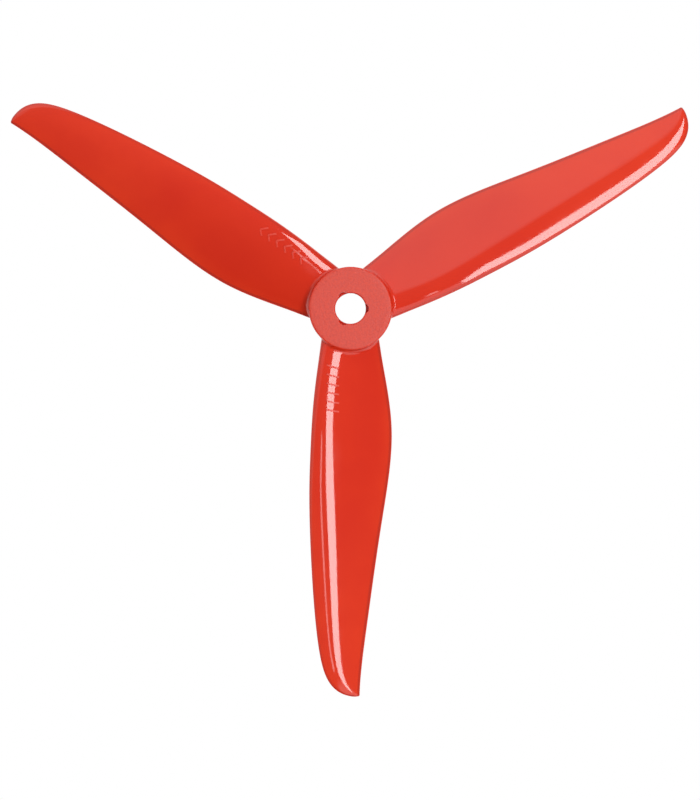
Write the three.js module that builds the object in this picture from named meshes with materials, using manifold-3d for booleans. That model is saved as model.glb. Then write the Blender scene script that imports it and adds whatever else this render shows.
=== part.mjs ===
// A three-blade propeller, 5 inches across, for the 5 mm shaft of a small multirotor motor.
// Millimetres, +Z up. The origin is the centre of the bore at the hub's underside, the face that sits on
// the motor. Seen from above the propeller turns clockwise, so the clockwise edge of a blade leads.
//
// The real propeller is one moulding. It is divided here at its natural boundaries, where the blade
// roots meet the hub's wall, with a hairline gap in place of each joint.

import * as THREE from "three";
import { mergeVertices } from "three/addons/utils/BufferGeometryUtils.js";
import Module from "manifold-3d";

const wasm = await Module();
wasm.setup();

// ---- Driving dimensions ----

const BORE_RADIUS = 2.5;
const HUB_RADIUS = 6.85;
const HUB_HEIGHT = 7.0;
const HUB_EDGE_ROUND = 0.3;
const BORE_CHAMFER = 0.2;
const HUB_SEGMENTS = 72;
const EDGE_STEPS = 3;

// Three keying notches: round grooves in the bore's wall, down from the top face.
const NOTCH_COUNT = 3;
const NOTCH_RADIUS = 0.83;
const NOTCH_CENTRE_RADIUS = 2.15;
const NOTCH_DEPTH = 4.5;
const NOTCH_SEGMENTS = 24;

// Cored pockets in the underside, which keep the walls even in thickness.
const POCKET_COUNT = 6;
const POCKET_INNER_RADIUS = 3.8;
const POCKET_OUTER_RADIUS = 5.7;
const POCKET_DEPTH = 3.4;
const RIB_WIDTH = 1.0;

// How far a cutting tool runs past the face that it cuts.
const CUT_CLEARANCE = 1.0;

const BLADE_COUNT = 3;
const FIRST_BLADE_ANGLE = THREE.MathUtils.degToRad(30);
const ROOT_RADIUS = HUB_RADIUS + 0.3;
const BLADE_STATIONS = 32;
const SECTION_STEPS = 12;

// The blade's edges in plan, as [radius, distance round the arc from the blade's axis].
const LEADING_EDGE = [
  [ROOT_RADIUS, 5.25], [9, 5.38], [12, 5.72], [18, 6.31], [24, 6.62], [30, 6.79], [38, 6.64], [46, 6.21],
  [52, 5.7], [56, 5.18], [59, 4.52], [61, 3.68], [62.4, 2.5], [63.2, 1.1], [63.5, 0], [63.57, -0.9],
];
const TRAILING_EDGE = [
  [ROOT_RADIUS, -5.15], [9, -5.36], [12, -5.82], [17, -6.58], [21, -6.88], [25, -6.72], [30, -6.06],
  [36, -5.05], [45, -3.68], [52, -2.7], [57, -2.03], [60, -1.71], [62, -1.56], [63.35, -1.5],
];

// Laws along the blade, as [radius, value]: the tangent of its angle, the height of its axis, its
// thickness, and its camber as a share of the chord.
const ANGLE_TANGENT = [
  [6, 0.243], [12, 0.367], [18, 0.391], [26, 0.344], [36, 0.286], [48, 0.226], [63, 0.171],
];
const AXIS_HEIGHT = [[6, 3.56], [12, 3.63], [20, 3.51], [30, 3.26], [45, 3.28], [63, 3.43]];
const THICKNESS = [[6, 2.51], [20, 2.3], [40, 0.7], [63, 0.46]];
const CAMBER = [[6, 0.041], [14, 0.035], [24, 0.041], [40, 0.07], [63, 0.061]];
// Where along the chord the camber is greatest.
const CAMBER_PLACE = 0.4;
const TRAILING_THICKNESS = 0.3;
// A section is never thicker than about this share of its chord, so the tip thins out as it narrows.
const MOST_THICKNESS_TO_CHORD = 0.45;
const THICKNESS_BLEND = 3;

// ---- Materials ----

const hubPlastic = new THREE.MeshStandardMaterial({ color: 0xd94b3c, roughness: 0.55, metalness: 0 });
const bladePlastic = new THREE.MeshStandardMaterial({ color: 0xd7301e, roughness: 0.12, metalness: 0 });

// ---- Solids ----

// Makes a manifold-3d solid from a closed three.js geometry.
function solidFrom(geometry) {
  const bare = geometry.clone();
  bare.deleteAttribute("normal");
  bare.deleteAttribute("uv");
  const merged = mergeVertices(bare, 1e-4);
  return new wasm.Manifold(new wasm.Mesh({
    numProp: 3,
    vertProperties: merged.attributes.position.array,
    triVerts: new Uint32Array(merged.index.array),
  }));
}

// Turns a manifold-3d solid back into a three.js geometry.
function geometryFrom(solid) {
  const mesh = solid.getMesh();
  const geometry = new THREE.BufferGeometry();
  geometry.setAttribute("position", new THREE.BufferAttribute(mesh.vertProperties, 3));
  geometry.setIndex(new THREE.BufferAttribute(mesh.triVerts, 1));
  geometry.computeVertexNormals();
  return geometry;
}

function namedMesh(name, geometry, material) {
  const mesh = new THREE.Mesh(geometry, material);
  mesh.name = name;
  return mesh;
}

// ---- Hub ----

// The ring that the hub is turned from: a rounded top edge outside and chamfers at the bore.
function hubRing() {
  const boreMouth = BORE_RADIUS + BORE_CHAMFER;
  const profile = [
    new THREE.Vector2(boreMouth, 0),
    new THREE.Vector2(HUB_RADIUS, 0),
  ];
  for (let step = 0; step <= EDGE_STEPS; step++) {
    const turn = (step / EDGE_STEPS) * Math.PI / 2;
    profile.push(new THREE.Vector2(
      HUB_RADIUS - HUB_EDGE_ROUND * (1 - Math.cos(turn)),
      HUB_HEIGHT - HUB_EDGE_ROUND * (1 - Math.sin(turn)),
    ));
  }
  profile.push(
    new THREE.Vector2(boreMouth, HUB_HEIGHT),
    new THREE.Vector2(BORE_RADIUS, HUB_HEIGHT - BORE_CHAMFER),
    new THREE.Vector2(BORE_RADIUS, BORE_CHAMFER),
    new THREE.Vector2(boreMouth, 0),
  );
  const ring = new THREE.LatheGeometry(profile, HUB_SEGMENTS);
  ring.rotateX(Math.PI / 2);
  return ring;
}

// One notch's cutter: a round bar whose centre line is inside the bore.
function notchCutter() {
  const length = NOTCH_DEPTH + CUT_CLEARANCE;
  const cutter = new THREE.CylinderGeometry(NOTCH_RADIUS, NOTCH_RADIUS, length, NOTCH_SEGMENTS);
  cutter.rotateX(Math.PI / 2);
  cutter.translate(NOTCH_CENTRE_RADIUS, 0, HUB_HEIGHT - NOTCH_DEPTH + length / 2);
  return cutter;
}

// One pocket's cutter: a sector of a ring between two ribs of even width.
function pocketCutter() {
  const halfSector = Math.PI / POCKET_COUNT;
  const outerTurn = halfSector - Math.asin(RIB_WIDTH / 2 / POCKET_OUTER_RADIUS);
  const innerTurn = halfSector - Math.asin(RIB_WIDTH / 2 / POCKET_INNER_RADIUS);
  const outline = new THREE.Shape();
  outline.absarc(0, 0, POCKET_OUTER_RADIUS, -outerTurn, outerTurn, false);
  outline.absarc(0, 0, POCKET_INNER_RADIUS, innerTurn, -innerTurn, true);
  outline.closePath();
  const cutter = new THREE.ExtrudeGeometry(outline, {
    depth: POCKET_DEPTH + CUT_CLEARANCE,
    bevelEnabled: false,
    curveSegments: 8,
  });
  cutter.translate(0, 0, -CUT_CLEARANCE);
  return cutter;
}

// Cuts a ring of equal cutters from a solid, with the first one at startAngle.
function cutAround(solid, makeCutter, count, startAngle) {
  let result = solid;
  for (let index = 0; index < count; index++) {
    const cutter = makeCutter();
    cutter.rotateZ(startAngle + (index / count) * 2 * Math.PI);
    result = result.subtract(solidFrom(cutter));
  }
  return result;
}

function makeHub() {
  let hub = solidFrom(hubRing());
  hub = cutAround(hub, notchCutter, NOTCH_COUNT, 0);
  hub = cutAround(hub, pocketCutter, POCKET_COUNT, 0);
  return namedMesh("hub", geometryFrom(hub), hubPlastic);
}

// ---- Blades ----

// The smaller of two lengths, blended smoothly where they are nearly equal.
function softMinimum(a, b, sharpness) {
  return (a ** -sharpness + b ** -sharpness) ** (-1 / sharpness);
}

// A smooth law through [place, value] knots: a cubic between each pair, and at each knot the slope
// of the line between its neighbours.
function lawAt(knots, place) {
  const slopeAt = (index) => {
    const [x0, y0] = knots[Math.max(index - 1, 0)];
    const [x1, y1] = knots[Math.min(index + 1, knots.length - 1)];
    return (y1 - y0) / (x1 - x0);
  };
  let index = knots.findIndex(([x]) => x > place) - 1;
  if (index === -2) index = knots.length - 2;
  index = Math.max(index, 0);
  const [x0, y0] = knots[index];
  const [x1, y1] = knots[index + 1];
  const span = x1 - x0;
  const t = THREE.MathUtils.clamp((place - x0) / span, 0, 1);
  const rise = (2 * t ** 3 - 3 * t ** 2 + 1) * y0 + (3 * t ** 2 - 2 * t ** 3) * y1;
  const lean = (t ** 3 - 2 * t ** 2 + t) * slopeAt(index) + (t ** 3 - t ** 2) * slopeAt(index + 1);
  return rise + lean * span;
}

function edgeCurve(points) {
  const places = points.map(([radius, arc]) => new THREE.Vector3(radius, arc, 0));
  return new THREE.CatmullRomCurve3(places, false, "centripetal");
}

const leadingCurve = edgeCurve(LEADING_EDGE);
const trailingCurve = edgeCurve(TRAILING_EDGE);

// Height of a point of an edge: the blade's axis, plus the blade angle's rise or fall across the arc.
function edgeHeight(radius, arc) {
  return lawAt(AXIS_HEIGHT, radius) + arc * lawAt(ANGLE_TANGENT, radius);
}

// Height of the camber line over the chord at a share of the chord, for a camber of 1.
function camberShape(share) {
  if (share < CAMBER_PLACE) {
    return (2 * CAMBER_PLACE * share - share ** 2) / CAMBER_PLACE ** 2;
  }
  return (1 - 2 * CAMBER_PLACE + 2 * CAMBER_PLACE * share - share ** 2) / (1 - CAMBER_PLACE) ** 2;
}

// Half the thickness at a share of the chord, for a section of thickness 1: the classic four-digit
// wing section, with a rounded nose.
function thicknessShape(share) {
  const tail = -0.126 * share - 0.3516 * share ** 2 + 0.2843 * share ** 3 - 0.1015 * share ** 4;
  return 5 * (0.2969 * Math.sqrt(share) + tail);
}

// A point of the blade's skin, for a blade along +X. along runs from 0 at the root to 1 at the tip,
// share from 0 at the leading edge to 1 at the trailing edge, and side is 1 above and -1 below.
function bladePoint(along, share, side) {
  const lead = leadingCurve.getPointAt(along);
  const trail = trailingCurve.getPointAt(along);
  lead.z = edgeHeight(lead.x, lead.y);
  trail.z = edgeHeight(trail.x, trail.y);
  const chordLine = trail.clone().sub(lead);
  const chord = chordLine.length();
  const planChord = Math.hypot(chordLine.x, chordLine.y);

  const radius = (lead.x + trail.x) / 2;
  const most = MOST_THICKNESS_TO_CHORD * chord;
  const thickness = softMinimum(lawAt(THICKNESS, radius), most, THICKNESS_BLEND);
  const halfThickness = thicknessShape(share) * thickness + share * TRAILING_THICKNESS / 2;
  const lift = camberShape(share) * lawAt(CAMBER, radius) * chord + side * halfThickness;

  const up = new THREE.Vector3(
    (-chordLine.z / chord) * (chordLine.x / planChord),
    (-chordLine.z / chord) * (chordLine.y / planChord),
    planChord / chord,
  );
  const point = lead.addScaledVector(chordLine, share).addScaledVector(up, lift);
  // Wrap the arc distance round the hub's axis: the leading edge is on the clockwise side.
  const turn = -point.y / point.x;
  return new THREE.Vector3(point.x * Math.cos(turn), point.x * Math.sin(turn), point.z);
}

// One closed loop round a section: over the top from the leading to the trailing edge, and back below.
function sectionLoop(along) {
  const share = (step) => (1 - Math.cos(Math.PI * step / SECTION_STEPS)) / 2;
  const loop = [];
  for (let step = 0; step <= SECTION_STEPS; step++) loop.push(bladePoint(along, share(step), 1));
  for (let step = SECTION_STEPS; step > 0; step--) loop.push(bladePoint(along, share(step), -1));
  return loop;
}

// Joins the sections into one closed skin, with a cap at the root and at the tip.
function bladeGeometry() {
  const loops = [];
  for (let station = 0; station <= BLADE_STATIONS; station++) {
    loops.push(sectionLoop(Math.sin((station / BLADE_STATIONS) * Math.PI / 2)));
  }
  const size = loops[0].length;
  const triangles = [];
  for (let station = 0; station < BLADE_STATIONS; station++) {
    for (let index = 0; index < size; index++) {
      const here = station * size + index;
      const beside = station * size + (index + 1) % size;
      triangles.push(here, here + size, beside + size, here, beside + size, beside);
    }
  }
  const tip = BLADE_STATIONS * size;
  for (let step = 0; step < SECTION_STEPS; step++) {
    const below = (size - step) % size;
    const belowNext = size - step - 1;
    triangles.push(step, step + 1, belowNext);
    triangles.push(tip + step, tip + belowNext, tip + step + 1);
    if (step > 0) {
      triangles.push(step, belowNext, below);
      triangles.push(tip + step, tip + below, tip + belowNext);
    }
  }
  const geometry = new THREE.BufferGeometry();
  geometry.setAttribute("position", new THREE.Float32BufferAttribute(
    loops.flat().flatMap((point) => point.toArray()), 3,
  ));
  geometry.setIndex(triangles);
  geometry.computeVertexNormals();
  return geometry;
}

function makeBlade(index) {
  const blade = namedMesh(`blade_${index + 1}`, bladeGeometry(), bladePlastic);
  blade.rotation.z = FIRST_BLADE_ANGLE + (index / BLADE_COUNT) * 2 * Math.PI;
  return blade;
}

// ---- Assembly ----

const propeller = new THREE.Group();
propeller.name = "propeller";
propeller.add(makeHub());
for (let index = 0; index < BLADE_COUNT; index++) {
  propeller.add(makeBlade(index));
}

export default propeller;
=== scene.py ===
"""Looks for a three-blade propeller of a small multirotor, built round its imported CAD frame.

The propeller's lengths are in millimetres, and are turned into metres where a mesh is made. The studio's
are in metres. The frame is the CAD's: +Z is the spin axis, out of the hub's top face, and z is 0 at the
hub's underside. Seen from above the propeller turns clockwise, so the clockwise edge of a blade leads.
"""

import math

import bpy
import numpy as np
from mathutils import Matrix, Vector
from mathutils.bvhtree import BVHTree


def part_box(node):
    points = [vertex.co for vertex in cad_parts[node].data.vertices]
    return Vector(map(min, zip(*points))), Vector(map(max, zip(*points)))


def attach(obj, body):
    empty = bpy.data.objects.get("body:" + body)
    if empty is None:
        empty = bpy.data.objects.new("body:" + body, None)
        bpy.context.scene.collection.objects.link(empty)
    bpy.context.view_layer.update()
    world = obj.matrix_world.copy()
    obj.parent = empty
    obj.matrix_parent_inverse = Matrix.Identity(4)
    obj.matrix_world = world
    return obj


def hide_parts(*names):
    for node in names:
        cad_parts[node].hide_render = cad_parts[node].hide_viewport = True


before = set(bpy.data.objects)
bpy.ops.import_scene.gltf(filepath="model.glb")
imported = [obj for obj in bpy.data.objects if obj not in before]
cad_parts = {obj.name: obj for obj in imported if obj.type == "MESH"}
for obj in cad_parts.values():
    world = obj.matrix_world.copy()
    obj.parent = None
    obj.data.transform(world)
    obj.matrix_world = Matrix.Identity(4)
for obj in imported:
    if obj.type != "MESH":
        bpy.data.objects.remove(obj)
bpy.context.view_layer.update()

MM = 0.001

# ---- Hub ----

HUB_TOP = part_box("hub")[1].z / MM
HUB_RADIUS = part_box("hub")[1].x / MM
HUB_DRAFT = 0.03
HUB_EDGE_ROUND = 0.32
HUB_EDGE_STEPS = 10
HUB_FOOT_CHAMFER = 0.12
HUB_SHARP_ANGLE = 50
BORE_RADIUS = 2.5
BORE_MOUTH = 2.7

# The keying notches: round grooves down from the top, on every second pocket's line.
NOTCH_RADIUS = 0.83
NOTCH_CENTRE = 2.15
NOTCH_DEPTH = 4.5
NOTCH_EVERY = 2
NOTCH_STEPS = 14

# The rounding at the top of the bore and of the notches, how far into a notch it changes, and its
# shape, as shares of the lip outwards from the rim and down from the top face.
BORE_LIP = 0.2
NOTCH_LIP = 0.06
LIP_CHANGE = 0.15
LIP_SHAPE = [(1.5, 0), (1, 0), (0.65, 0.15), (0.25, 0.55), (0, 1.1)]

# The cored pockets of the underside. Their walls lean a little, so that they leave the mould.
POCKET_COUNT = 6
POCKET_INNER_RADIUS = 3.8
POCKET_OUTER_RADIUS = 5.7
POCKET_DEPTH = 3.4
POCKET_WALL_LEAN = 0.04
POCKET_FLOOR_INSET = 0.12
RIB_HALF_WIDTH = 0.5
SMALL_ROUND = 0.06

# The mesh's columns over a pocket's end and half of the rib beyond it, as (share of the pocket's half
# angle, share of the half rib, share of the pocket's depth).
POCKET_END_COLUMNS = [(0.88, 0, 1), (0.92, 0, 1), (0.96, 0, 1), (0.985, 0, 1), (0.993, 0, 0.985)]
RIB_COLUMNS = [(1, 0.03, 0.02), (1, 0.1, 0), (1, 0.4, 0), (1, 0.7, 0)]

# Where the hub's mesh has a row of points on its plain faces.
SEAT_ROW_RADIUS = 3.2
RIM_ROW_RADIUS = 6.2
WALL_ROW_HEIGHTS = (1.2, 2.4, 3.6, 4.8, 5.8)
TOP_ROW_RADII = (5.9, 5.3, 4.6, 4.0, 3.6)
NOTCH_ROW_DEPTH = 1.2
BORE_ROW_HEIGHTS = (2.0, 0.25)

# Small roundings: where a notch's wall meets its floor, the floor's outer and inner height over the
# notch's depth, the lower end of the bore's wall as (radius over the bore's, height), and the middle of
# the chamfer at the hub's foot as a share of it.
NOTCH_FLOOR_RISE = 0.1
NOTCH_FLOOR_SLOPE = (0.02, -0.01)
MOUTH_STEP = (0.06, 0.1)
FOOT_ROUND_SHARE = 0.3

# ---- Blades ----

BLADE_ANGLES = {"blade_1": 30, "blade_2": 150, "blade_3": 270}

# The blade's edges in plan, as (radius, distance round the arc from the blade's axis). They start
# inside the hub's wall, and meet at the tip's trailing corner.
LEADING_EDGE = [
    (6.2, 5.18), (9, 5.38), (12, 5.72), (18, 6.31), (24, 6.62), (30, 6.79), (38, 6.64), (46, 6.21),
    (52, 5.7), (56, 5.18), (59, 4.52), (61, 3.68), (62.4, 2.5), (63.2, 1.1), (63.5, 0), (63.57, -0.9),
    (63.5, -1.35),
]
TRAILING_EDGE = [
    (6.2, -5.08), (9, -5.36), (12, -5.82), (17, -6.58), (21, -6.88), (25, -6.72), (30, -6.06),
    (36, -5.05), (45, -3.68), (52, -2.7), (57, -2.03), (60, -1.71), (62, -1.56), (63.35, -1.5),
]

# Laws along the blade, as (radius, value): the tangent of its angle, the height of its axis, its
# thickness, and its camber as a share of the chord.
ANGLE_TANGENT = [(6, 0.243), (12, 0.367), (18, 0.391), (26, 0.344), (36, 0.286), (48, 0.226), (63, 0.171)]
AXIS_HEIGHT = [(6, 3.56), (12, 3.63), (20, 3.51), (30, 3.26), (45, 3.28), (63, 3.43)]
THICKNESS = [(6, 2.51), (20, 2.3), (40, 0.7), (63, 0.46)]
CAMBER = [(6, 0.041), (14, 0.035), (24, 0.041), (40, 0.07), (63, 0.061)]
CAMBER_PLACE = 0.4
TRAILING_THICKNESS = 0.3
MOST_TRAILING_TO_THICKNESS = 0.6
MOST_THICKNESS_TO_CHORD = 0.45
THICKNESS_BLEND = 3

# The fillet round the root: it shrinks where a blade comes near the hub's top or bottom face, and
# towards the blade's edges.
ROOT_FILLET = 0.9
LEAST_FILLET = 0.15
FILLET_TO_ROOM = 0.6
FILLET_TO_INSET = 0.3
FILLET_STATIONS = 26
BLADE_STATIONS = 280
SECTION_STEPS = 80
EDGE_SAMPLES = 2000

# The painted shade along an edge: its share of dark colour a little inside the edge, and the distances
# up to which it stays and where it has gone.
LEAD_SHADE = (0.35, 0.18, 0.45)
TRAIL_SHADE = (0.6, 0.28, 0.65)
SHADE_START = 0.1

# ---- Curves and small maths ----


def soft_minimum(a, b, sharpness):
    """The smaller of two lengths, blended smoothly where they are nearly equal."""
    return (a ** -sharpness + b ** -sharpness) ** (-1 / sharpness)


def smooth_step(value):
    """A smooth rise from 0 to 1."""
    value = np.clip(value, 0, 1)
    return value**2 * (3 - 2 * value)


def law(table, place):
    """A smooth law through (place, value) knots: a cubic between each pair, and at each knot the slope
    of the line between its neighbours."""
    x, y = np.array(table, float).T
    before = np.maximum(np.arange(len(x)) - 1, 0)
    after = np.minimum(np.arange(len(x)) + 1, len(x) - 1)
    slope = (y[after] - y[before]) / (x[after] - x[before])
    place = np.clip(place, x[0], x[-1])
    at = np.clip(np.searchsorted(x, place) - 1, 0, len(x) - 2)
    span = x[at + 1] - x[at]
    t = (place - x[at]) / span
    rise = (2 * t**3 - 3 * t**2 + 1) * y[at] + (3 * t**2 - 2 * t**3) * y[at + 1]
    lean = (t**3 - 2 * t**2 + t) * slope[at] + (t**3 - t**2) * slope[at + 1]
    return rise + lean * span


def natural_spline(knots, points, places):
    """The natural cubic spline through points at rising knots, read at the places."""
    step = np.diff(knots)
    matrix = np.eye(len(knots))
    right = np.zeros_like(points)
    slope = np.diff(points, axis=0) / step[:, None]
    for i in range(1, len(knots) - 1):
        matrix[i, i - 1 : i + 2] = step[i - 1], 2 * (step[i - 1] + step[i]), step[i]
        right[i] = 6 * (slope[i] - slope[i - 1])
    bend = np.linalg.solve(matrix, right)
    at = np.clip(np.searchsorted(knots, places) - 1, 0, len(knots) - 2)
    width = step[at][:, None]
    v = (places[:, None] - knots[at][:, None]) / width
    u = 1 - v
    line = u * points[at] + v * points[at + 1]
    return line + ((u**3 - u) * bend[at] + (v**3 - v) * bend[at + 1]) * width**2 / 6


def lengths_along(path):
    """The length of a path up to each of its points."""
    steps = np.linalg.norm(np.diff(path, axis=0), axis=1)
    return np.concatenate([[0], np.cumsum(steps)])


def edge(points, along):
    """Points of a blade's edge, as (radius, arc), at shares of its length from root to tip."""
    points = np.array(points, float)
    knots = lengths_along(points)
    fine = np.linspace(0, knots[-1], EDGE_SAMPLES)
    lengths = lengths_along(natural_spline(knots, points, fine))
    return natural_spline(knots, points, np.interp(along, lengths / lengths[-1], fine))


def turned(points, degrees):
    """Points turned anticlockwise about the spin axis."""
    angle = math.radians(degrees)
    x = points[..., 0] * math.cos(angle) - points[..., 1] * math.sin(angle)
    y = points[..., 0] * math.sin(angle) + points[..., 1] * math.cos(angle)
    return np.stack([x, y, points[..., 2]], axis=-1)


# ---- Mesh making ----


def mesh_object(name, vertices, faces, material):
    """A smooth-shaded mesh object from vertices in millimetres."""
    mesh = bpy.data.meshes.new(name)
    mesh.from_pydata((np.asarray(vertices) * MM).tolist(), [], faces)
    mesh.polygons.foreach_set("use_smooth", [True] * len(mesh.polygons))
    mesh.materials.append(material)
    mesh.update()
    piece = bpy.data.objects.new(name, mesh)
    bpy.context.scene.collection.objects.link(piece)
    return piece


def set_point_value(piece, name, values):
    """Gives each vertex a value that the plastic's colour depends on."""
    attribute = piece.data.attributes.new(name, "FLOAT", "POINT")
    attribute.data.foreach_set("value", values)


def ring_faces(rows, size, closed):
    """Quads that join rows of points, each row a closed loop of the given size."""
    faces = []
    for row in range(rows if closed else rows - 1):
        here = row * size
        ahead = (row + 1) % rows * size
        for index in range(size):
            beside = (index + 1) % size
            faces.append((here + index, ahead + index, ahead + beside, here + beside))
    return faces


# ---- Blade shape ----


def edge_points(points, along):
    """An edge's points as (radius, arc, height)."""
    radius, arc = edge(points, along).T
    height = law(AXIS_HEIGHT, radius) + arc * law(ANGLE_TANGENT, radius)
    return np.stack([radius, arc, height], axis=1)


def camber_shape(share):
    """Height of the camber line over the chord, for a camber of 1."""
    front = (2 * CAMBER_PLACE * share - share**2) / CAMBER_PLACE**2
    back = (1 - 2 * CAMBER_PLACE + 2 * CAMBER_PLACE * share - share**2) / (1 - CAMBER_PLACE) ** 2
    return np.where(share < CAMBER_PLACE, front, back)


def thickness_shape(share):
    """Half the thickness of the classic four-digit wing section, for a thickness of 1."""
    tail = -0.126 * share - 0.3516 * share**2 + 0.2843 * share**3 - 0.1015 * share**4
    return 5 * (0.2969 * np.sqrt(share) + tail)


def edge_shade(distance, strength, stays, gone):
    """The share of dark colour that paints shade at distances from an edge."""
    rise = smooth_step(distance / SHADE_START)
    fall = smooth_step((gone - distance) / (gone - stays))
    return strength * rise * fall


def blade_stations():
    """Shares of the edges' length at which sections are made, dense at the root's fillet and the tip."""
    first = LEADING_EDGE[0][0]
    length = lengths_along(np.array(LEADING_EDGE, float))[-1]
    turn = np.linspace(0, math.pi / 2, FILLET_STATIONS, endpoint=False)
    root = (HUB_RADIUS + ROOT_FILLET * (1 - np.cos(turn)) - first) / length
    root_share = (HUB_RADIUS + ROOT_FILLET - first) / length
    even = np.linspace(0, 1, BLADE_STATIONS)
    rest = root_share + (1 - root_share) * (even + np.sin(even * math.pi / 2)) / 2
    return np.concatenate([[0], root, rest])


def around(upper, lower):
    """Values round each section: out along its upper side, and back along its lower side."""
    return np.concatenate([upper, lower[:, -2:0:-1]], axis=1)


def grown(loop_x, loop_y, growth):
    """Each section's loop, moved outwards by the growth at each point."""
    run_x = np.roll(loop_x, -1, axis=1) - np.roll(loop_x, 1, axis=1)
    run_y = np.roll(loop_y, -1, axis=1) - np.roll(loop_y, 1, axis=1)
    run = np.hypot(run_x, run_y)
    return loop_x - growth * run_y / run, loop_y + growth * run_x / run


def fillet_growth(height, inset, radius):
    """How far the root's fillet stands out from each point, from the point's height, its distance from
    the section's nearer edge, and the radius of its section."""
    room = np.minimum(height, HUB_TOP - height)
    most = np.minimum(FILLET_TO_ROOM * room, LEAST_FILLET + FILLET_TO_INSET * inset)
    fillet = np.clip(most, LEAST_FILLET, ROOT_FILLET)
    clearance = np.clip(radius - HUB_RADIUS, 0, fillet)
    return fillet - np.sqrt(fillet**2 - (fillet - clearance) ** 2)


def wrapped(flat):
    """Points with their distance round the arc wrapped round the hub's axis."""
    radius, arc, height = flat[..., 0], flat[..., 1], flat[..., 2]
    turn = -arc / radius
    return np.stack([radius * np.cos(turn), radius * np.sin(turn), height], axis=-1)


def blade_skin():
    """The skin of a blade along +X, as rows of points round each section, with the plastic's local
    thickness and the share of painted edge shade at each point."""
    along = blade_stations()
    lead = edge_points(LEADING_EDGE, along)
    trail = edge_points(TRAILING_EDGE, along)

    # Each section's chord, and the directions along it and out of its upper side.
    chord_line = trail - lead
    chord = np.linalg.norm(chord_line, axis=1)
    plan_chord = np.hypot(chord_line[:, 0], chord_line[:, 1])
    forward = chord_line / chord[:, None]
    lean = -forward[:, 2] / plan_chord
    up = np.stack([lean * chord_line[:, 0], lean * chord_line[:, 1], plan_chord / chord], axis=1)

    # The section's upper and lower side over its chord, with a round trailing edge.
    middle = (lead[:, 0] + trail[:, 0]) / 2
    thickness = soft_minimum(law(THICKNESS, middle), MOST_THICKNESS_TO_CHORD * chord, THICKNESS_BLEND)
    trailing = np.minimum(TRAILING_THICKNESS, thickness * MOST_TRAILING_TO_THICKNESS) / 2
    share = (1 - np.cos(math.pi * np.arange(SECTION_STEPS + 1) / SECTION_STEPS)) / 2
    round_start = 1 - trailing / chord
    into_round = np.clip((share - round_start[:, None]) / (1 - round_start[:, None]), 0, 1)
    half = thickness_shape(share) * thickness[:, None] + share * trailing[:, None]
    half = half * np.sqrt(1 - into_round**2)
    camber = camber_shape(share) * (law(CAMBER, middle) * chord)[:, None]
    from_lead = share * chord[:, None]
    loop_x = around(from_lead, from_lead)
    loop_y = around(camber + half, camber - half)

    # Painted shade just inside the leading and trailing edges.
    from_trail = (round_start[:, None] - share) * chord[:, None]
    shade = np.maximum(edge_shade(from_lead, *LEAD_SHADE), edge_shade(from_trail, *TRAIL_SHADE))

    # At the hub each section grows outwards along the fillet's arc.
    height = lead[:, None, 2] + loop_x * forward[:, None, 2] + loop_y * up[:, None, 2]
    inset = np.minimum(share, 1 - share) * chord[:, None]
    growth = fillet_growth(height, around(inset, inset), lead[:, None, 0])
    loop_x, loop_y = grown(loop_x, loop_y, growth)

    flat = lead[:, None] + loop_x[..., None] * forward[:, None] + loop_y[..., None] * up[:, None]
    return wrapped(flat), around(half, half) * 2, around(shade, shade)


def make_blade(name, material):
    """One blade: its skin, a cap inside the hub's wall, and a cap at the tip's corner."""
    skin, thickness, shade = blade_skin()
    stations, size, _ = skin.shape
    vertices = turned(skin, BLADE_ANGLES[name]).reshape(-1, 3)
    faces = [face[::-1] for face in ring_faces(stations, size, closed=False)]
    last = (stations - 1) * size
    for step in range(SECTION_STEPS):
        upper, upper_next = step, step + 1
        lower, lower_next = (size - step) % size, size - step - 1
        cap = (upper, upper_next, lower_next, lower)
        if step == 0:
            cap = (upper, upper_next, lower_next)
        elif step == SECTION_STEPS - 1:
            cap = (upper, upper_next, lower)
        faces.append(cap)
        faces.append(tuple(last + index for index in reversed(cap)))
    piece = mesh_object(name + "_moulding", vertices, faces, material)
    set_point_value(piece, "wall_thickness", thickness.reshape(-1))
    set_point_value(piece, "edge_shade", shade.reshape(-1))
    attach(piece, "root")
    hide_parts(name)
    return piece


# ---- Moulded marks ----

MARK_HEIGHT = 0.09
MARK_SINK = 0.12
MARK_HALF_WIDTH = 0.13
MARK_BEVEL = 0.05
MARK_STEP = 0.12
MARK_SHARP_ANGLE = 40
LEAST_STROKE_STEPS = 3

# The chevrons of one blade and the bars of another. Start, pitch and reach are lengths along the blade,
# climb is the row's rise for each length along, and the rest are places and lengths across the blade,
# towards the leading edge.
CHEVRONS = {
    "start": 10.8, "count": 6, "pitch": 1.6, "reach": 0.8, "middle": 3.1, "half_height": 0.85, "climb": 0.1,
}
BARS = {"start": 10.0, "count": 6, "pitch": 1.4, "low": 1.9, "high": 3.95}

# The height over the table, in metres, from which a blade's surface is looked for.
LOOK_DOWN_FROM = 1.0


def surface_point(tree, degrees, radius, arc):
    """The point and normal of a blade's upper surface at a radius and arc distance, in millimetres."""
    turn = math.radians(degrees) - arc / radius
    start = Vector((radius * math.cos(turn) * MM, radius * math.sin(turn) * MM, LOOK_DOWN_FROM))
    place, normal, _, _ = tree.ray_cast(start, Vector((0, 0, -1)))
    return np.array(place) / MM, np.array(normal)


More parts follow.
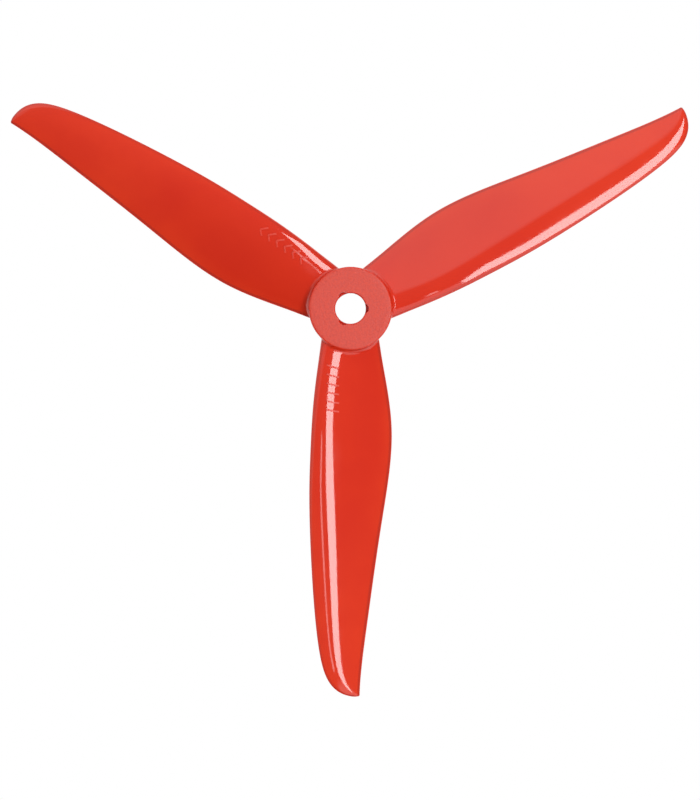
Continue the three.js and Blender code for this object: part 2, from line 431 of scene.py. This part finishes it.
def stroke(tree, degrees, path):
    """A raised bar along a path of (radius, arc) points on a blade: its vertices and faces."""
    path = np.array(path, float)
    lengths = lengths_along(path)
    count = max(int(lengths[-1] / MARK_STEP), LEAST_STROKE_STEPS)
    along = np.linspace(0, lengths[-1], count + 1)
    line = np.stack([np.interp(along, lengths, path[:, axis]) for axis in (0, 1)], axis=1)
    inner = MARK_HALF_WIDTH - MARK_BEVEL
    shoulder = MARK_HEIGHT - MARK_BEVEL
    left_side = [(-MARK_HALF_WIDTH, -MARK_SINK), (-MARK_HALF_WIDTH, shoulder), (-inner, MARK_HEIGHT)]
    outline = left_side + [(-across, lift) for across, lift in reversed(left_side)]
    spots = [surface_point(tree, degrees, *spot) for spot in line]
    vertices = []
    for index, (place, normal) in enumerate(spots):
        ahead = spots[min(index + 1, count)][0] - spots[max(index - 1, 0)][0]
        side = np.cross(normal, ahead)
        side /= np.linalg.norm(side)
        vertices += [place + side * across + normal * lift for across, lift in outline]
    size = len(outline)
    faces = ring_faces(count + 1, size, closed=False)
    faces.append(tuple(range(size)))
    faces.append(tuple(count * size + index for index in reversed(range(size))))
    return vertices, faces


def make_mark(name, blade, blade_name, paths, material):
    """A row of raised bars on a blade, as one piece of closed solids."""
    tree = BVHTree.FromObject(blade, bpy.context.evaluated_depsgraph_get())
    vertices, faces = [], []
    for path in paths:
        new_vertices, new_faces = stroke(tree, BLADE_ANGLES[blade_name], path)
        faces += [tuple(len(vertices) + index for index in face) for face in new_faces]
        vertices += new_vertices
    piece = mesh_object(name, vertices, faces, material)
    piece.data.set_sharp_from_angle(angle=math.radians(MARK_SHARP_ANGLE))
    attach(piece, "root")


def chevron_row(start, count, pitch, reach, middle, half_height, climb):
    """The paths of chevrons in a row along a blade, each pointing outwards. The row climbs towards the
    leading edge."""
    paths = []
    for index in range(count):
        foot = start + index * pitch
        level = middle + climb * index * pitch
        paths.append([(foot, level - half_height), (foot + reach, level), (foot, level + half_height)])
    return paths


def bar_row(start, count, pitch, low, high):
    """The paths of straight bars across a blade, in a row along it."""
    return [[(start + index * pitch, low), (start + index * pitch, high)] for index in range(count)]


# ---- Hub shape ----


def column_angle(share, rib, radius):
    """A column's angle at a radius, from the pocket's middle: the ribs keep an even width."""
    at = min(max(radius, POCKET_INNER_RADIUS), POCKET_OUTER_RADIUS)
    sector = math.pi / POCKET_COUNT
    edge_angle = sector - math.asin(RIB_HALF_WIDTH / at)
    return share * edge_angle + rib * (sector - edge_angle)


def hub_columns():
    """The columns of one pocket's sector, as (share of the pocket's half angle, share of the half rib
    beyond it, share of the pocket's depth)."""
    cosine = (BORE_RADIUS**2 + NOTCH_CENTRE**2 - NOTCH_RADIUS**2) / (2 * BORE_RADIUS * NOTCH_CENTRE)
    notch_share = math.acos(cosine) / column_angle(1, 0, BORE_RADIUS)
    columns = [(notch_share * step / NOTCH_STEPS, 0, 1) for step in range(NOTCH_STEPS + 1)]
    columns += POCKET_END_COLUMNS + RIB_COLUMNS
    mirrored = [(-share, -rib, depth) for share, rib, depth in reversed(columns[1:])]
    return mirrored + columns + [(1, 1, 0)]


def bore_radius_at(angle, has_notch):
    """The bore's radius above the notch floor, at an angle from the notch's middle."""
    reach = NOTCH_RADIUS**2 - (NOTCH_CENTRE * math.sin(angle)) ** 2
    if not has_notch or reach < 0:
        return BORE_RADIUS
    return max(BORE_RADIUS, NOTCH_CENTRE * math.cos(angle) + math.sqrt(reach))


def underside_outline(depth):
    """The hub's underside as (radius, height), from the bore's mouth out, over a pocket of a depth."""
    small = SMALL_ROUND
    lip = min(small, depth)
    top = max(depth - small, 0)
    pocket_middle = (POCKET_INNER_RADIUS + POCKET_OUTER_RADIUS) / 2
    return [
        (BORE_MOUTH, 0),
        (SEAT_ROW_RADIUS, 0),
        (POCKET_INNER_RADIUS - small, 0),
        (POCKET_INNER_RADIUS, lip),
        (POCKET_INNER_RADIUS + POCKET_WALL_LEAN, top),
        (POCKET_INNER_RADIUS + POCKET_FLOOR_INSET, depth),
        (pocket_middle, depth),
        (POCKET_OUTER_RADIUS - POCKET_FLOOR_INSET, depth),
        (POCKET_OUTER_RADIUS - POCKET_WALL_LEAN, top),
        (POCKET_OUTER_RADIUS, lip),
        (POCKET_OUTER_RADIUS + small, 0),
        (RIM_ROW_RADIUS, 0),
    ]


def outside_outline():
    """The hub's outer wall and rounded top edge as (radius, height), upwards."""
    foot_round = HUB_FOOT_CHAMFER * FOOT_ROUND_SHARE
    outline = [(HUB_RADIUS - HUB_FOOT_CHAMFER, 0), (HUB_RADIUS - foot_round, foot_round)]
    outline.append((HUB_RADIUS, HUB_FOOT_CHAMFER))
    for height in WALL_ROW_HEIGHTS:
        outline.append((HUB_RADIUS - HUB_DRAFT * height / HUB_TOP, height))
    for step in range(HUB_EDGE_STEPS + 1):
        turn = math.pi / 2 * step / HUB_EDGE_STEPS
        outline.append((
            HUB_RADIUS - HUB_DRAFT - HUB_EDGE_ROUND * (1 - math.cos(turn)),
            HUB_TOP - HUB_EDGE_ROUND * (1 - math.sin(turn)),
        ))
    return outline


def bore_outline(rim):
    """The bore's wall as (radius, height), from its lip down. It has the rim's radius down to the notches'
    floor, and the bore's below it."""
    small = SMALL_ROUND
    lip = BORE_LIP + (NOTCH_LIP - BORE_LIP) * smooth_step((rim - BORE_RADIUS) / LIP_CHANGE)
    floor = HUB_TOP - NOTCH_DEPTH
    outer_slope, inner_slope = NOTCH_FLOOR_SLOPE
    outline = [(rim + out * lip, HUB_TOP - down * lip) for out, down in LIP_SHAPE]
    outline += [(rim, HUB_TOP - NOTCH_ROW_DEPTH), (rim, floor + NOTCH_FLOOR_RISE)]
    outline.append((max(rim - small, BORE_RADIUS), floor + outer_slope))
    outline.append((min(BORE_RADIUS + small, rim), floor + inner_slope))
    outline.append((BORE_RADIUS, floor - small))
    outline += [(BORE_RADIUS, height) for height in BORE_ROW_HEIGHTS]
    outline.append((BORE_RADIUS + MOUTH_STEP[0], MOUTH_STEP[1]))
    return outline


def hub_outline(depth_share, rim):
    """The hub's closed outline at one column as (radius, height), from the bore's lower mouth out."""
    underside = underside_outline(POCKET_DEPTH * depth_share)
    top_face = [(radius, HUB_TOP) for radius in TOP_ROW_RADII]
    return underside + outside_outline() + top_face + bore_outline(rim)


def make_hub(material):
    """The hub as one closed grid of columns round the axis, with its notches and pockets in the grid."""
    columns = []
    for sector in range(POCKET_COUNT):
        middle = 2 * math.pi * sector / POCKET_COUNT
        has_notch = sector % NOTCH_EVERY == 0
        for share, rib, depth in hub_columns():
            rim = bore_radius_at(column_angle(share, rib, BORE_RADIUS), has_notch)
            column = []
            for radius, height in hub_outline(depth, rim):
                angle = middle + column_angle(share, rib, radius)
                column.append((radius * math.cos(angle), radius * math.sin(angle), height))
            columns.append(column)
    vertices = np.array(columns).reshape(-1, 3)
    faces = ring_faces(len(columns), len(columns[0]), closed=True)
    piece = mesh_object("hub_moulding", vertices, faces, material)
    piece.data.set_sharp_from_angle(angle=math.radians(HUB_SHARP_ANGLE))
    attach(piece, "root")
    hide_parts("hub")


# ---- Materials ----

PLASTIC_IOR = 1.58
DEEP_RED = (0.72, 0.031, 0.009)
# Painted light: the paler red where the table's light shines up through the blades' thin walls. The marks
# use it as the pale end of their grain.
LIT_THROUGH_AND_PALE_GRAIN_RED = (0.775, 0.042, 0.012)
# Painted shade: the darker red just inside the blades' leading and trailing edges.
EDGE_SHADE_RED = (0.36, 0.026, 0.017)
STREAK_RED = (0.64, 0.020, 0.009)
DARK_GRAIN = (0.62, 0.032, 0.012)
PALE_GRAIN = (0.70, 0.048, 0.020)

# The wall thicknesses at which the painted light through the plastic is full and has gone.
THIN_WALL = 0.25
THICK_WALL = 1.3

# How many features of a noise fit in a metre, and its levels of detail.
FLOW_STREAKS = (90, 3)
BLADE_RIPPLES = (160, 2)
POLISH_CHANGES = (700, 4)
MARK_GRAIN = (2600, 3)
HUB_GRAIN = (3200, 3)

# The band of a noise's values over which a colour or a roughness changes.
STREAK_BAND = (0.35, 0.7)
POLISH_BAND = (0.3, 0.75)
GRAIN_COLOUR_BAND = (0.35, 0.65)
GRAIN_ROUGHNESS_BAND = (0.3, 0.7)

# Roughness from the smoothest place to the roughest, and the heights of bumps.
BLADE_ROUGHNESS = (0.055, 0.09)
MARK_ROUGHNESS = (0.38, 0.52)
HUB_SIDE_ROUGHNESS = 0.14
HUB_TOP_ROUGHNESS = (0.42, 0.58)
BLADE_RIPPLE_HEIGHT = 0.006
MARK_GRAIN_HEIGHT = 0.01
HUB_GRAIN_HEIGHT = 0.03

# The largest share of streak colour, how far below the top face the hub's grain fades out, and the
# level of the plain wall in the grain.
STREAK_SHARE = 0.35
GRAIN_FADE = 0.06
PLAIN_LEVEL = 0.5

# The Mix node's sockets when it mixes colours.
COLOUR_INPUTS = (6, 7)
COLOUR_OUTPUT = 2


class Nodes:
    """A short way to add and link a material's nodes."""

    def __init__(self, name):
        self.material = bpy.data.materials.new(name)
        self.material.use_nodes = True
        self.tree = self.material.node_tree
        self.shader = self.tree.nodes["Principled BSDF"]
        self.shader.inputs["IOR"].default_value = PLASTIC_IOR

    def add(self, kind, links=None, **settings):
        """Adds a node. Links are its inputs, each from a socket or a plain value, and settings are its
        properties."""
        node = self.tree.nodes.new(kind)
        for key, value in settings.items():
            setattr(node, key, value)
        for socket, source in (links or {}).items():
            if isinstance(source, bpy.types.NodeSocket):
                self.tree.links.new(source, node.inputs[socket])
            else:
                node.inputs[socket].default_value = source
        return node

    def drive(self, socket, source):
        """Links a node's output to one of the shader's inputs."""
        self.tree.links.new(source, self.shader.inputs[socket])

    def noise(self, scale, detail):
        """Noise over the object, from 0 to 1."""
        place = self.add("ShaderNodeTexCoord").outputs["Object"]
        links = {"Vector": place, "Scale": scale, "Detail": detail}
        return self.add("ShaderNodeTexNoise", links).outputs["Fac"]

    def point_value(self, name):
        """A value that the mesh carries at its vertices."""
        return self.add("ShaderNodeAttribute", attribute_name=name).outputs["Fac"]

    def height(self):
        """Height over the hub's underside, in metres."""
        place = self.add("ShaderNodeTexCoord").outputs["Object"]
        return self.add("ShaderNodeSeparateXYZ", {"Vector": place}).outputs["Z"]

    def ranged(self, source, low, high, to_low=0.0, to_high=1.0):
        """A value mapped smoothly from one range to another."""
        links = {"Value": source, "From Min": low, "From Max": high, "To Min": to_low, "To Max": to_high}
        return self.add("ShaderNodeMapRange", links, interpolation_type="SMOOTHSTEP").outputs["Result"]

    def mixed(self, share, first, second):
        """A mix of two colours."""
        node = self.add("ShaderNodeMix", {"Factor": share}, data_type="RGBA")
        for index, colour in zip(COLOUR_INPUTS, (first, second)):
            if isinstance(colour, bpy.types.NodeSocket):
                self.tree.links.new(colour, node.inputs[index])
            else:
                node.inputs[index].default_value = (*colour, 1)
        return node.outputs[COLOUR_OUTPUT]

    def bump(self, level, height):
        """Bumps of a height in millimetres, from a level between 0 and 1."""
        node = self.add("ShaderNodeBump", {"Height": level, "Distance": height * MM, "Strength": 1.0})
        self.drive("Normal", node.outputs["Normal"])


def make_blade_plastic():
    """Polished, slightly translucent plastic, with faint streaks of colour from the flow into the mould. It
    is painted paler where the wall is thin, as light from the table shining up through it, and painted dark
    with shade along its edges."""
    nodes = Nodes("blade_plastic")
    # Painted light: thin walls are painted paler, as the table's light shining up through them.
    thin = nodes.ranged(nodes.point_value("wall_thickness"), THIN_WALL, THICK_WALL, 1.0, 0.0)
    colour = nodes.mixed(thin, DEEP_RED, LIT_THROUGH_AND_PALE_GRAIN_RED)
    streaks = nodes.ranged(nodes.noise(*FLOW_STREAKS), *STREAK_BAND, 0.0, STREAK_SHARE)
    streaked = nodes.mixed(streaks, colour, STREAK_RED)
    # The painted edge shade darkens the colour a little inside each edge.
    nodes.drive("Base Color", nodes.mixed(nodes.point_value("edge_shade"), streaked, EDGE_SHADE_RED))
    polish = nodes.noise(*POLISH_CHANGES)
    nodes.drive("Roughness", nodes.ranged(polish, *POLISH_BAND, *BLADE_ROUGHNESS))
    nodes.bump(nodes.noise(*BLADE_RIPPLES), BLADE_RIPPLE_HEIGHT)
    return nodes.material


def make_mark_plastic():
    """The same plastic, matte, as a raised mark is left by its engraving in the mould."""
    nodes = Nodes("mark_plastic")
    grain = nodes.noise(*MARK_GRAIN)
    nodes.drive("Base Color", nodes.mixed(nodes.ranged(grain, *GRAIN_COLOUR_BAND), DEEP_RED, LIT_THROUGH_AND_PALE_GRAIN_RED))
    nodes.drive("Roughness", nodes.ranged(grain, *GRAIN_ROUGHNESS_BAND, *MARK_ROUGHNESS))
    nodes.bump(grain, MARK_GRAIN_HEIGHT)
    return nodes.material


def make_hub_plastic():
    """The same plastic, polished, but with the fine grain of a spark-eroded mould on the top face."""
    nodes = Nodes("hub_plastic")
    grain = nodes.noise(*HUB_GRAIN)
    on_top = nodes.ranged(nodes.height(), (HUB_TOP - GRAIN_FADE) * MM, HUB_TOP * MM)
    grained = nodes.mixed(nodes.ranged(grain, *GRAIN_COLOUR_BAND), DARK_GRAIN, PALE_GRAIN)
    nodes.drive("Base Color", nodes.mixed(on_top, DEEP_RED, grained))
    rough = nodes.ranged(grain, *GRAIN_ROUGHNESS_BAND, *HUB_TOP_ROUGHNESS)
    nodes.drive("Roughness", nodes.ranged(on_top, 0.0, 1.0, HUB_SIDE_ROUGHNESS, rough))
    nodes.bump(nodes.ranged(on_top, 0.0, 1.0, PLAIN_LEVEL, grain), HUB_GRAIN_HEIGHT)
    return nodes.material


blade_plastic = make_blade_plastic()
mark_plastic = make_mark_plastic()
hub_plastic = make_hub_plastic()

# ---- The object ----

make_hub(hub_plastic)
blades = {name: make_blade(name, blade_plastic) for name in BLADE_ANGLES}
make_mark("blade_2_mark", blades["blade_2"], "blade_2", chevron_row(**CHEVRONS), mark_plastic)
make_mark("blade_3_mark", blades["blade_3"], "blade_3", bar_row(**BARS), mark_plastic)

# ---- Studio ----

FLOOR_HALF_SIZE = 2.0
FLOOR_DROP = 0.0001
FLOOR_RADIANCE = 1.0
LIGHT_HEIGHT = 0.6
SOFTBOX_RADIANCE = 9.0
SOFTBOX_OUTLINE = [(0.1185, -0.118), (0.231, -0.332), (0.355, 0.355), (0.101, 0.172)]
LAMP_OUTLINE = [(-0.020, -0.090), (-0.008, -0.182), (0.046, -0.148), (0.002, -0.084)]
LAMP_RADIANCE = 3.5
CAMERA_DISTANCE = 2.0
CAMERA_TARGET = (-0.00008, -0.01497, 0.0035)
CAMERA_REACH = 100
FRAME_HEIGHT = 0.1310
SENSOR_WIDTH = 36.0

# Each panel: its azimuth and elevation, its radiance, and the angles where its soft edge ends and starts.
PANELS = [((115, 25), 1.0, (45, 34)), ((160, 35), 0.60, (36, 26)), ((300, 42), 1.2, (36, 26))]

# The walls: their mean radiance, and how much it rises towards the brighter side.
SKY_RADIANCE = 0.12
SKY_SLOPE = 0.15
SKY_SLOPE_DIRECTION = (95, 40)

# The ground beyond the table, and how far below the horizon the walls have given way to it.
GROUND_RADIANCE = 0.2
GROUND_START = -0.06


def flat_stage_piece(name, corners, height, radiance):
    """A flat glowing polygon that belongs to the studio."""
    mesh = bpy.data.meshes.new(name)
    mesh.from_pydata([(x, y, height) for x, y in corners], [], [tuple(range(len(corners)))])
    material = bpy.data.materials.new(name)
    material.use_nodes = True
    shader = material.node_tree.nodes["Principled BSDF"]
    shader.inputs["Base Color"].default_value = (0, 0, 0, 1)
    shader.inputs["Specular IOR Level"].default_value = 0
    shader.inputs["Emission Color"].default_value = (1, 1, 1, 1)
    shader.inputs["Emission Strength"].default_value = radiance
    mesh.materials.append(material)
    piece = bpy.data.objects.new(name, mesh)
    bpy.context.scene.collection.objects.link(piece)
    return piece


def make_floor():
    """A white table, which shows no shadow, and lights the blades' edges from below."""
    half = FLOOR_HALF_SIZE
    corners = [(-half, -half), (half, -half), (half, half), (-half, half)]
    flat_stage_piece("floor", corners, -FLOOR_DROP, FLOOR_RADIANCE)


def make_light(name, outline, radiance):
    """A flat light over the table, hidden from the camera."""
    light = flat_stage_piece(name, outline, LIGHT_HEIGHT, radiance)
    light.visible_camera = False


def direction(azimuth, elevation):
    """A unit vector, from degrees anticlockwise of +X and degrees above the table."""
    turn, rise = math.radians(azimuth), math.radians(elevation)
    return (math.cos(turn) * math.cos(rise), math.sin(turn) * math.cos(rise), math.sin(rise))


def make_world():
    """The studio round the table: dim walls, brighter towards one side, and large pale panels."""
    world = bpy.data.worlds.new("studio")
    bpy.context.scene.world = world
    world.use_nodes = True
    tree = world.node_tree

    def node(kind, **settings):
        made = tree.nodes.new(kind)
        for key, value in settings.items():
            setattr(made, key, value)
        return made

    def towards(azimuth, elevation):
        dot = node("ShaderNodeVectorMath", operation="DOT_PRODUCT")
        tree.links.new(view, dot.inputs[0])
        dot.inputs[1].default_value = direction(azimuth, elevation)
        return dot.outputs["Value"]

    def ranged(source, low, high, to_low, to_high):
        made = node("ShaderNodeMapRange", interpolation_type="SMOOTHSTEP")
        tree.links.new(source, made.inputs["Value"])
        for index, value in enumerate((low, high, to_low, to_high), start=1):
            made.inputs[index].default_value = value
        return made.outputs["Result"]

    def combined(operation, first, second):
        made = node("ShaderNodeMath", operation=operation)
        tree.links.new(first, made.inputs[0])
        tree.links.new(second, made.inputs[1])
        return made.outputs["Value"]

    view = node("ShaderNodeTexCoord").outputs["Generated"]
    wall = node("ShaderNodeMath", operation="MULTIPLY_ADD")
    tree.links.new(towards(*SKY_SLOPE_DIRECTION), wall.inputs[0])
    wall.inputs[1].default_value = SKY_SLOPE
    wall.inputs[2].default_value = SKY_RADIANCE
    sky = wall.outputs["Value"]
    for centre, radiance, edge_angles in PANELS:
        outside, inside = (math.cos(math.radians(angle)) for angle in edge_angles)
        panel = ranged(towards(*centre), outside, inside, 0.0, radiance)
        sky = combined("MAXIMUM", sky, panel)
    above = ranged(towards(0, 90), GROUND_START, 0.0, 0.0, 1.0)
    mix = node("ShaderNodeMix", data_type="FLOAT")
    share, _, ground, walls = mix.inputs[:4]
    tree.links.new(above, share)
    ground.default_value = GROUND_RADIANCE
    tree.links.new(sky, walls)
    background = tree.nodes["Background"]
    background.inputs["Color"].default_value = (1, 1, 1, 1)
    tree.links.new(mix.outputs[0], background.inputs["Strength"])


def make_camera():
    """A long lens straight above the table, with +Y up in the picture."""
    data = bpy.data.cameras.new("camera")
    data.sensor_width = SENSOR_WIDTH
    data.lens = SENSOR_WIDTH * CAMERA_DISTANCE / FRAME_HEIGHT
    data.clip_end = CAMERA_REACH
    camera = bpy.data.objects.new("camera", data)
    bpy.context.scene.collection.objects.link(camera)
    x, y, z = CAMERA_TARGET
    camera.location = (x, y, z + CAMERA_DISTANCE)
    bpy.context.scene.camera = camera


make_floor()
make_light("strip_softbox", SOFTBOX_OUTLINE, SOFTBOX_RADIANCE)
make_light("small_lamp", LAMP_OUTLINE, LAMP_RADIANCE)
make_world()
make_camera()
bpy.context.scene.view_settings.view_transform = "Standard"
